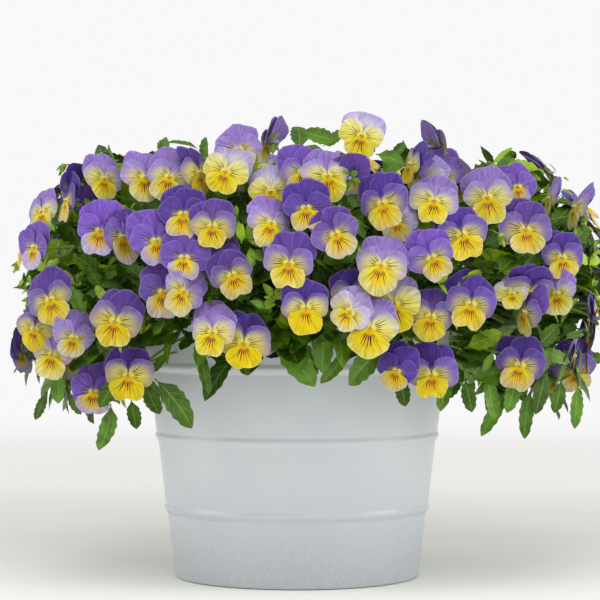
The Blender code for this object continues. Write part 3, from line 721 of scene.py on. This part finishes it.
def buildBlooms(petals):
    # one piece for each CAD bloom, then the others by tone; returns eyes, frames and sizes of all
    toneOf = {part["node"]: part["material_slot"].replace("petals_", "")
              for part in frame["record"]["subparts"] if part["node"].startswith("bloom")}
    eyes, frames, sizes = [], [], []
    for number, node in enumerate(sorted(toneOf)):
        eye, axes, size = cadBloomFrame(node)
        random = np.random.default_rng(100 + number)
        yellow = yellowShares[number] if number < len(yellowShares) else None
        part = petalParts(eye[None], axes[None], np.array([size]), [toneOf[node]], random, yellow)
        knobs = knobPart(eye[None], axes[None], np.array([size]))
        piece = meshPiece("viola" + node[5:], [part, knobs], [petals])
        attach(piece, "root")
        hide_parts(node)
        eyes.append(eye)
        frames.append(axes)
        sizes.append(size)
    x, z, behind, turn, tilt, spin, size = np.array([row[:7] for row in frontBlooms], float).T
    front = np.stack([x * mm, behind * mm - moundDepth(x * mm, z * mm), z * mm], -1)
    taken = np.concatenate([np.array(eyes), front])
    ring, ringFrames, ringSizes, ringTones = ringBlooms(taken)
    moreEyes = np.concatenate([front, ring])
    moreFrames = np.concatenate([facing(turn, tilt, spin), ringFrames])
    moreSizes = np.concatenate([size, ringSizes])
    moreTones = np.array([row[7] for row in frontBlooms] + ringTones)
    side = np.where(np.arange(len(moreEyes)) < len(front), "front", "back")
    for number, tone in enumerate(petalTones):
        for part in ("front", "back"):
            chosen = (moreTones == tone) & (side == part)
            sheets = petalParts(moreEyes[chosen], moreFrames[chosen], moreSizes[chosen],
                                list(moreTones[chosen]), np.random.default_rng(200 + number))
            knobs = knobPart(moreEyes[chosen], moreFrames[chosen], moreSizes[chosen])
            piece = meshPiece("more_violas_" + part + "_" + tone, [sheets, knobs], [petals])
            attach(piece, "root")
    print("blooms built:", len(eyes), "modelled and", len(moreEyes), "more")
    return (np.concatenate([eyes, moreEyes]), np.concatenate([frames, moreFrames]),
            np.concatenate([sizes, moreSizes]))


# foliage: ovate leaves with scalloped edges, rosettes of fresh ones, stalks, calyces and buds

leafSettings = {
    "rows": 13,
    "columns": 5,
    "stalkShare": 0.16,         # of a leaf's length
    "scallop": 0.085,           # of its half width
    "narrow": 5.5,              # narrower leaves are pointed, wider ones blunt, mm
    "shell": 3000,              # leaves tried just under the blooms
    "inner": 420,               # leaves deeper inside, in darker greens that paint the shade there
    # for each kind: length (mm), width as a share of it, droop and fold; hanging leaves have their own sizes
    "innerShape": ((32, 46), (0.42, 0.58), (0.05, 0.3), (0, 0.3)),
    "rosetteShape": ((7, 15), (0.26, 0.42), (0, 0.4), (0.1, 0.4)),
    "hangingShape": (None, None, (0, 0.12), (0.1, 0.3)),
    "trailingShape": ((22, 36), (0.34, 0.5), (0, 0.15), (0.1, 0.3)),
    "rosettes": 420,            # shoot tips tried
    "rosetteLeaves": 7,
    "trailing": 90,             # leaves that trail round the sides and back
    "buds": 44,                 # buds tried
    "rimFront": (100, 178, 35),    # leaves this near the middle and this low are lifted off the rim, mm
    "rib": "#A4C458",
    "shade": "#B8C4A8",         # darkens the mottling between the veins
    "mottle": 7.7,              # mm
    "stalkStreak": "#4A5A22",
    "streak": 4.545,            # mm
    "greens": ["#4C7200", "#5A8206", "#658F22", "#769E42", "#8CAC12", "#3E6200"],
    "deepGreens": ["#2E5000", "#386000", "#446A06"],
    "hangingGreens": ["#4A7004", "#56800C", "#3E6200", "#5E8A24"],
    "freshGreens": ["#84A418", "#98B428", "#7CA22C"],
    "stalkGreens": ["#75982E", "#85A63A", "#668828"],
    "budGreens": ["#9FB23C", "#8FAA38", "#B4BC4C"],
    "spurLilacs": ["#8D7FB8", "#A79CC8"],
}

# leaves that hang by themselves below the mound, on the front: x and z of the base, x and z of the tip,
# width, and how far in front of the axis, all in mm
hangingLeaves = [
    (-94, 148, -64, 121, 15, 150), (-64, 170, -60, 138, 7, 152), (-86, 166, -94, 152, 6, 150),
    (-14, 182, 8, 141, 17, 156), (19, 190, 15, 152, 14, 158), (60, 170, 30, 151, 15, 156),
    (34, 168, 20, 143, 8, 158), (68, 150, 72, 130, 9, 150), (98, 158, 101, 127, 10, 146),
    (112, 148, 117, 126, 9, 140), (143, 140, 127, 107, 9, 110), (160, 140, 151, 107, 9, 105),
    (181, 146, 178, 123, 9, 100), (193, 143, 191, 112, 8, 95), (-126, 130, -125, 99, 11, 115),
    (-112, 133, -109, 113, 9, 118), (-101, 143, -95, 123, 10, 130), (-163, 152, -162, 130, 9, 105),
    (-172, 137, -177, 118, 6, 100), (-154, 137, -147, 122, 7, 108), (28, 305, 5, 311, 10, 150),
    (52, 296, 71, 292, 9, 158), (-40, 168, -33, 150, 8, 150), (-120, 150, -132, 128, 10, 125),
    (170, 150, 163, 122, 9, 105), (128, 150, 133, 120, 10, 125), (150, 152, 143, 124, 10, 118),
]


def leafMaterial():
    # viola leaf: thin, slightly waxy skin over a sunken net of veins, paler along the ribs
    material, shader, add = newMaterial("waxy viola leaf", {"IOR": 1.45, "Specular IOR Level": 0.36})
    tint = add("colour attribute", attribute_name="tint")
    across, along, _ = add("split", add("attribute", attribute_name="leafPlace"))
    width = add("absolute", across)
    midrib = add("fade", width, 0.03, 0.14, 1.0, 0.0)
    slant = add("subtract", add("multiply", along, 6.5), add("multiply", width, 1.5))
    side = add("fade", add("pingpong", slant, 0.5), 0.02, 0.13, 0.55, 0.0)
    veins = add("maximum", midrib, add("multiply", side, add("fade", width, 0.7, 1.0, 1.0, 0.2)))
    mottle = add("noise", add("object place"), grainScale(leafSettings["mottle"]), 3.0)
    dark = add("tint", 1.0, tint, linearColour(leafSettings["shade"]))
    tone = add("mix", add("fade", mottle, 0.35, 0.7), tint, dark)
    tone = add("mix", add("multiply", veins, 0.3), tone, linearColour(leafSettings["rib"]))
    setInputs(shader, {"Base Color": tone, "Roughness": add("fade", mottle, 0.3, 0.7, 0.36, 0.52),
                       "Normal": add("bump", veins, 0.5, 0.4 * mm, invert=True)})
    return material


def stalkMaterial():
    # juicy stalks and calyces: smooth, a little translucent, so soft and pale green
    constants = {"Roughness": 0.45, "IOR": 1.4, "Specular IOR Level": 0.4}
    material, shader, add = newMaterial("juicy viola stalk", constants)
    tint = add("colour attribute", attribute_name="tint")
    streak = add("noise", add("object place"), grainScale(leafSettings["streak"]), 2.0)
    tone = add("mix", add("fade", streak, 0.4, 0.75, 0.0, 0.35), tint,
               linearColour(leafSettings["stalkStreak"]))
    setInputs(shader, {"Base Color": tone})
    return material


def leafPart(base, along, up, long, wide, droop, fold, tint, random):
    # blades as grids, t along and u across (-1 to 1): half = wide / 2 * sin(pi t^0.85)^pointed past the
    # stalk, point = base + along * long * t + side * u * half
    # + up * (fold * |u| * half - droop * long * t^2)
    count = len(base)
    rows, columns = leafSettings["rows"], leafSettings["columns"]
    t = np.linspace(0, 1, rows)[None, :, None]
    u = np.linspace(-1, 1, columns)[None, None, :]
    blade = np.clip((t - leafSettings["stalkShare"]) / (1 - leafSettings["stalkShare"]), 0, 1)
    long, wide, droop, fold = (values[:, None, None] for values in (long, wide, droop, fold))
    pointed = np.where(wide < leafSettings["narrow"] * mm, 0.9, 0.5)
    half = 0.4 * mm + wide / 2 * np.sin(np.pi * blade ** 0.85) ** pointed
    teeth = 1 + leafSettings["scallop"] * (-1.0) ** np.arange(rows)[None, :, None] * (np.abs(u) > 0.9)
    half = half * np.where(blade > 0, teeth, 1)
    along = unit(along)
    side = unit(np.cross(along, up))
    up = np.cross(side, along)
    ripple = 0.06 * np.sin(9 * t + random.uniform(0, 6, (count, 1, 1))) * np.abs(u)
    rise = (fold * np.abs(u) + ripple) * half - droop * long * t ** 2
    sway = random.normal(0, 0.10, (count, 1, 1)) * long * t ** 2
    points = (base[:, None, None] + along[:, None, None] * (long * t)[..., None]
              + side[:, None, None] * (u * half + sway)[..., None] + up[:, None, None] * rise[..., None])
    shape = (count, rows, columns)
    place = np.stack([np.broadcast_to(values, shape)
                      for values in (u, t, random.uniform(0, 1, (count, 1, 1)))], -1)
    return {"points": points, "leafPlace": place,
            "tint": np.broadcast_to(tint[:, None, None], (*shape, 4)), "grid": (rows, columns)}


def pickTints(greens, count, random):
    # a colour of the list for each leaf, a little lighter or darker by chance
    colours = np.array([linearColour(green) for green in greens])[random.integers(0, len(greens), count)]
    colours[:, :3] *= random.normal(1, 0.14, (count, 1)).clip(0.6, 1.4)
    return colours


def shellLeaves(random):
    # leaves on and under the mound's surface, pointing outwards and up, more downwards near its foot
    count = leafSettings["shell"]
    angle = random.uniform(-np.pi, np.pi, count)
    level = random.uniform(0, 1, count) ** 0.9 * 165 * mm + 140 * mm
    base = shrunk(moundPoints(angle, level), random.uniform(0.74, 0.96, count))
    out, high, lift = np.array(leafSettings["rimFront"]) * mm
    low = (np.abs(base[:, 0]) < out) & (base[:, 1] < 0) & (base[:, 2] < high)
    base[low, 2] += lift
    return base, angle


def domeLeaves(random):
    # leaves that look up from the low dome on top
    count = leafSettings["shell"] // 4
    angle = random.uniform(-np.pi, np.pi, count)
    out = np.sqrt(random.uniform(0, 1, count))
    base = np.stack([135 * mm * out * np.sin(angle), -125 * mm * out * np.cos(angle),
                     (296 - 22 * out ** 2) * mm - random.uniform(0, 26, count) * mm], -1)
    return base, angle


def outwards(angle):
    return np.stack([np.sin(angle), -np.cos(angle), 0 * angle], -1)


def clearOfBlooms(point, eyes, frames):
    # true where a point isn't just in front of a bloom's petals
    local = np.einsum("lnc,nkc->lnk", point[:, None] - eyes[None], frames)
    covers = (np.hypot(local[..., 0], local[..., 1]) < 18 * mm) & (local[..., 2] > -4 * mm)
    return ~(covers & (local[..., 2] < 45 * mm)).any(1)


def insideMound(point):
    rise = point[:, 2] - moundSettings["level"]
    span = np.where(rise > 0, moundSettings["above"] * 0.93, moundSettings["below"])
    power = moundSettings["power"]
    wide = np.where(point[:, 0] > 0, moundSettings["wide"], moundSettings["left"])
    return ((np.abs(point[:, 0]) / wide) ** power + (np.abs(point[:, 1]) / moundSettings["deep"]) ** power
            + (np.abs(rise) / span) ** power) < 1


def keptLeaves(row, eyes, frames):
    # drops the leaves that reach outside the mound, or in front of a bloom's petals
    base, along, long = row[0], row[1], row[3]
    free = np.ones(len(base), bool)
    for share in (0.3, 0.65, 1.0):
        point = base + along * long[:, None] * share
        free &= insideMound(point) & clearOfBlooms(point, eyes, frames)
    return tuple(values[free] for values in row)


def leafSet(kind, base, along, up, greens, random, long=None, wide=None):
    # one row of leaves of a kind; lengths and widths are drawn from its ranges unless they are given
    count = len(base)
    longs, wides, droops, folds = leafSettings[kind]
    long = random.uniform(*longs, count) * mm if long is None else long
    wide = long * random.uniform(*wides, count) if wide is None else wide
    return (base, along, up, long, wide, random.uniform(*droops, count), random.uniform(*folds, count),
            pickTints(leafSettings[greens], count, random))


def scatterLeaves(eyes, frames, random):
    # all free leaves: base, direction, up, length, width, droop, fold and tint
    base, angle = shellLeaves(random)
    domeBase, domeAngle = domeLeaves(random)
    base, angle = np.concatenate([base, domeBase]), np.concatenate([angle, domeAngle])
    count = len(base)
    lift = np.clip((base[:, 2:] - 190 * mm) / (90 * mm), -0.7, 1.2)
    along = unit(outwards(angle) * 0.8 + [0, 0, 0.15] + lift * [0, 0, 0.6]
                 + random.normal(0, 0.55, (count, 3)))
    up = unit(outwards(angle) * 0.8 + [0, 0, 0.7] + random.normal(0, 0.35, (count, 3)))
    long = random.uniform(17, 31, count) * mm
    wide = long * random.uniform(0.38, 0.58, count)
    tint = pickTints(leafSettings["greens"], count, random)
    sets = [(base, along, up, long, wide, random.uniform(0.05, 0.35, count),
             random.uniform(0.05, 0.4, count), tint)]

    inner = leafSettings["inner"]
    angle = random.uniform(-np.pi, np.pi, inner)
    level = random.uniform(160, 292, inner) * mm
    base = shrunk(moundPoints(angle, level), random.uniform(0.5, 0.82, inner))
    along = unit(outwards(angle) + random.normal(0, 0.6, (inner, 3)))
    up = unit(outwards(angle) * 0.6 + [0, 0, 0.8] + random.normal(0, 0.4, (inner, 3)))
    # the inner leaves take darker greens: painted shade deeper inside the mound
    sets.append(leafSet("innerShape", base, along, up, "deepGreens", random))

    # shoot tips: rosettes of small fresh leaves round an outward axis
    tips = leafSettings["rosettes"]
    angle = random.uniform(-np.pi, np.pi, tips)
    base = shrunk(moundPoints(angle, random.uniform(165, 300, tips) * mm), 0.96)
    low = (np.abs(base[:, 0]) < 100 * mm) & (base[:, 1] < 0) & (base[:, 2] < 190 * mm)
    free = clearOfBlooms(base, eyes, frames) & ~low
    leaves = leafSettings["rosetteLeaves"]
    count = int(free.sum()) * leaves
    base, angle = np.repeat(base[free], leaves, axis=0), np.repeat(angle[free], leaves)
    out = unit(outwards(angle) + [0, 0, 0.6])
    side = unit(np.cross(out, [0.0, 0.0, 1.0]))
    turn = np.arange(count)[:, None] * 2.4 + random.normal(0, 0.3, (count, 1))
    ring = np.cos(turn) * side + np.sin(turn) * np.cross(side, out)
    along = unit(out * random.uniform(0.3, 1.3, (count, 1)) + ring)
    sets.append(leafSet("rosetteShape", base, along, out - ring * 0.4, "freshGreens", random))

    sets = [keptLeaves(row, eyes, frames) for row in sets]
    rows = np.array(hangingLeaves, float) * mm
    base = np.stack([rows[:, 0], -rows[:, 5], rows[:, 1]], -1)
    tip = np.stack([rows[:, 2], -rows[:, 5] - 4 * mm, rows[:, 3]], -1)
    long = np.linalg.norm(tip - base, axis=1)
    up = np.broadcast_to([0.0, -1.0, 0.25], base.shape) + random.normal(0, 0.15, base.shape)
    sets.append(leafSet("hangingShape", base, tip - base, up, "hangingGreens", random, long, rows[:, 4]))

    back = leafSettings["trailing"]
    angle = random.uniform(np.radians(60), np.radians(300), back)
    base = shrunk(moundPoints(angle, random.uniform(138, 176, back) * mm), 0.95)
    along = unit(outwards(angle) * 0.2 + [0, 0, -1] + random.normal(0, 0.5, (back, 3)))
    up = outwards(angle) + [0, 0, 0.2]
    sets.append(leafSet("trailingShape", base, along, up, "hangingGreens", random))
    return [np.concatenate([row[i] for row in sets]) for i in range(8)]


stalkSettings = {
    # radii at the two ends (mm), steps along and sides round
    "flowerStalk": (1.0, 0.75, 9, 5),
    "spur": (1.6, 1.2, 4, 6),
    "stem": (2.2, 1.7, 7, 8),
    "bud": (2.3, 0.8, 5, 6),
    "budStalk": (0.9, 0.7, 8, 5),
    # stems: distance from the axis at the foot and the top, and the height of the top, mm
    "stemFoot": 54,
    "stemTop": 92,
    "stemTall": 224,
    "sepalLong": 8.5,           # mm
    "sepalWide": 3.2,
}


def calyxPart(eyes, frames, sizes, random, spread=0.95, forward=-0.35):
    # five pointed sepals behind each bloom: narrow leaves along spread * ring + forward * the bloom's axis
    count = len(eyes)
    turn = np.radians(np.arange(5) * 72 + 36)
    right, up, out = frames[:, 0], frames[:, 1], frames[:, 2]
    ring = np.cos(turn)[None, :, None] * up[:, None] + np.sin(turn)[None, :, None] * right[:, None]
    base = (eyes - out * 3.2 * mm * sizes[:, None])[:, None] + ring * 0.6 * mm
    along = ring * spread + out[:, None] * forward
    long = np.repeat(stalkSettings["sepalLong"] * mm * sizes, 5) * random.normal(1, 0.1, count * 5)
    flat = (count * 5, 3)
    return leafPart(base.reshape(flat), along.reshape(flat), np.repeat(out, 5, axis=0), long,
                    np.full(count * 5, stalkSettings["sepalWide"] * mm), np.full(count * 5, 0.1),
                    np.full(count * 5, 0.1),
                    pickTints(leafSettings["stalkGreens"], count * 5, random), random)


def stalkPaths(eyes, frames, sizes, random):
    # each flower stalk rises from the middle of the mound, arches over behind its bloom and meets the spur
    end = eyes - frames[:, 2] * 7 * mm * sizes[:, None]
    start = end * [0.5, 0.5, 0] + np.stack([random.normal(0, 10, len(end)), random.normal(0, 10, len(end)),
                                           random.uniform(180, 205, len(end))], -1) * mm
    start[:, 2] = np.minimum(start[:, 2], end[:, 2] + 15 * mm)
    reach = np.linalg.norm(end - start, axis=1)[:, None]
    lift = np.array([0, 0, 1.0])
    second = start + lift * reach * 0.45 + random.normal(0, 6, end.shape) * mm
    third = end - frames[:, 2] * 9 * mm + lift * 7 * mm - lift * reach * 0.1
    return np.stack([start, second, third, end], 1)


def asPart(sheets, chosen, material):
    # the chosen grids of a set of sheets, flattened into one part of a piece
    rows, columns = sheets["grid"]
    part = {key: sheets[key][chosen].reshape(-1, sheets[key].shape[-1])
            for key in ("points", "leafPlace", "tint")}
    part["faces"] = gridFaces(int(chosen.sum()), rows, columns)
    part["material"] = material
    return part


def tubePart(kind, controls, greens, random):
    # stalks, spurs and buds of a kind, along cubic curves
    count = len(controls)
    thick, thin, steps, sides = stalkSettings[kind]
    points, faces = tubeSheets(controls, np.full(count, thick * mm), np.full(count, thin * mm), steps, sides)
    tint = pickTints(leafSettings[greens], count, random)
    return {"points": points, "faces": faces, "leafPlace": np.zeros_like(points),
            "tint": np.repeat(tint, (steps + 2) * sides, axis=0), "material": 1}


def shootCompass(node):
    # a shoot's compass angle from the middle of its foot, which stands on the soil
    points = nodePoints(node)
    foot = points[np.hypot(points[:, 0], points[:, 1]) < 62 * mm]
    middle = foot[foot[:, 2] < foot[:, 2].min() + 3 * mm].mean(0)
    return np.arctan2(middle[0], -middle[1])


def buildShoots(eyes, frames, sizes):
    random = np.random.default_rng(31)
    names = sorted(name for name in frame["nodes"] if name.startswith("leafy_shoot"))
    compass = np.array([shootCompass(name) for name in names])
    materials = [leafMaterial(), stalkMaterial()]

    def nearest(points):
        angle = np.arctan2(points[:, 0], -points[:, 1])[:, None]
        return np.abs((angle - compass + np.pi) % (2 * np.pi) - np.pi).argmin(1)

    rows = scatterLeaves(eyes, frames, random)
    leaves = leafPart(*rows, random)
    leafOwner = nearest(rows[0])
    calyces = calyxPart(eyes, frames, sizes, random)
    calyxOwner = np.repeat(nearest(eyes), 5)
    stalks = stalkPaths(eyes, frames, sizes, random)
    spurLong = petalSettings["spurLong"] * mm * sizes[:, None]
    spurEnd = eyes - frames[:, 2] * spurLong + frames[:, 1] * 1.5 * mm
    spurStart = eyes - frames[:, 2] * 1.0 * mm
    spurs = np.stack([spurStart * (1 - share) + spurEnd * share for share in (0, 0.4, 0.7, 1)], 1)
    owner = nearest(eyes)

    buds = leafSettings["buds"]
    budAngle = random.uniform(-np.pi, np.pi, buds)
    budTop = moundPoints(budAngle, random.uniform(185, 300, buds) * mm)
    free = clearOfBlooms(budTop, eyes, frames) & clearOfBlooms(budTop - [0, 0, 9 * mm], eyes, frames)
    budTop, budAngle = budTop[free], budAngle[free]
    budEnd = budTop + outwards(budAngle) * 4 * mm - [0, 0, 8 * mm]
    budFrames = facing(np.degrees(budAngle), np.full(len(budTop), -60.0), np.zeros(len(budTop)))
    sepals = calyxPart(budTop + budFrames[:, 2] * 2.2 * mm, budFrames, np.full(len(budTop), 0.8), random,
                       spread=0.3, forward=0.95)
    budPath = np.stack([budTop * (1 - share) + budEnd * share for share in (0, 0.3, 0.65, 1)], 1)
    budStart = budTop * [0.55, 0.55, 0] + [0, 0, 200 * mm]
    budStalk = np.stack([budStart, budStart + [0, 0, 40 * mm], budTop - outwards(budAngle) * 8 * mm
                         + [0, 0, 10 * mm], budTop], 1)
    budOwner = nearest(budTop)

    for number, name in enumerate(names):
        parts = [asPart(leaves, leafOwner == number, 0), asPart(calyces, calyxOwner == number, 1)]
        parts.append(tubePart("flowerStalk", stalks[owner == number], "stalkGreens", random))
        parts.append(tubePart("spur", spurs[owner == number], "spurLilacs", random))
        way = outwards(compass[number:number + 1])
        foot = way * stalkSettings["stemFoot"] * mm + [0, 0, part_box("potting_soil")[1][2] - 3 * mm]
        crown = way * stalkSettings["stemTop"] * mm + [0, 0, stalkSettings["stemTall"] * mm]
        stem = np.stack([foot, foot + [0, 0, 25 * mm], crown - [0, 0, 15 * mm], crown + [0, 0, 4 * mm]], 1)
        parts.append(tubePart("stem", stem, "stalkGreens", random))
        here = budOwner == number
        if here.any():
            parts.append(asPart(sepals, np.repeat(here, 5), 1))
            parts.append(tubePart("bud", budPath[here], "budGreens", random))
            parts.append(tubePart("budStalk", budStalk[here], "stalkGreens", random))
        piece = meshPiece("foliage" + name[11:], parts, materials)
        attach(piece, "root")
        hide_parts(name)
    print("foliage built:", len(rows[0]), "leaves,", len(eyes), "flower stalks and", len(budTop), "buds")


# the studio: a pale floor that fades into a white backdrop, and soft lights

studioSettings = {
    "floor": "#F6F6F0",
    "behind": "#DFDFD9",        # painted shadow: the floor is a little darker just behind the tub
    "white": 0.94,              # what the camera sees behind
    "dome": 0.66,               # light from all round
    "lights": [
        # name, place, size, watts
        ("softbox above", (-0.1, -1.2, 1.55), 1.0, 11.0),
        ("front fill", (0.7, -2.0, 0.6), 1.0, 5.7),
        ("left bank", (-1.5, -0.3, 0.7), 0.9, 8.5),
        ("right bank", (1.5, -0.3, 0.7), 0.9, 10.0),
    ],
}


def floorMaterial():
    # plain matt paper: pale, with a painted shadow just behind the tub, and lit to white further away
    material, shader, add = newMaterial("pale paper floor", {"Roughness": 0.9})
    place = add("object place")
    depth = add("split", place)[1]
    # painted shadow: a darker band from about the axis to 0.9 m behind it
    paintedShadow = add("multiply", add("fade", depth, -0.05, 0.3), add("fade", depth, 0.4, 0.9, 1.0, 0.0))
    near, behind = (linearColour(studioSettings[key]) for key in ("floor", "behind"))
    setInputs(shader, {"Base Color": add("mix", paintedShadow, near, behind)})
    white = add("glow", (1, 1, 1, 1), studioSettings["white"])
    surface = add("blend", add("fade", add("length", place), 0.5, 2.2), shader.outputs[0], white)
    setInputs(material.node_tree.nodes["Material Output"], {"Surface": surface})
    return material


def buildStudio():
    span = np.linspace(-1, 1, 9) * 9
    x, y = np.meshgrid(span, span)
    points = np.stack([x.ravel(), y.ravel(), np.full(x.size, -0.0004)], -1)
    floor = meshPiece("studio_floor", [{"points": points, "faces": gridFaces(1, 9, 9)}], [floorMaterial()])
    for name, place, size, watts in studioSettings["lights"]:
        data = bpy.data.lights.new(name, "AREA")
        data.size = size
        data.energy = watts
        lamp = bpy.data.objects.new(name, data)
        lamp.location = place
        towards = np.array([0, 0, 0.18]) - place
        level = np.hypot(towards[0], towards[1])
        lamp.rotation_euler = (np.pi / 2 + np.arctan2(towards[2], level), 0,
                               np.arctan2(-towards[0], towards[1]))
        bpy.context.scene.collection.objects.link(lamp)
    world = bpy.data.worlds.new("white studio")
    world.use_nodes = True
    bpy.context.scene.world = world
    tree = world.node_tree
    strength = addNode(tree, "fade", addNode(tree, "seen"), 0.0, 1.0, studioSettings["dome"],
                       studioSettings["white"])
    setInputs(tree.nodes["Background"], {"Color": (1, 1, 1, 1), "Strength": strength})
    bpy.context.scene.view_settings.view_transform = "Standard"
    print("studio built")


buildCamera()
buildTub(enamelMaterial())
buildSoil()
allEyes, allFrames, allSizes = buildBlooms(petalMaterial())
buildShoots(allEyes, allFrames, allSizes)
buildStudio()
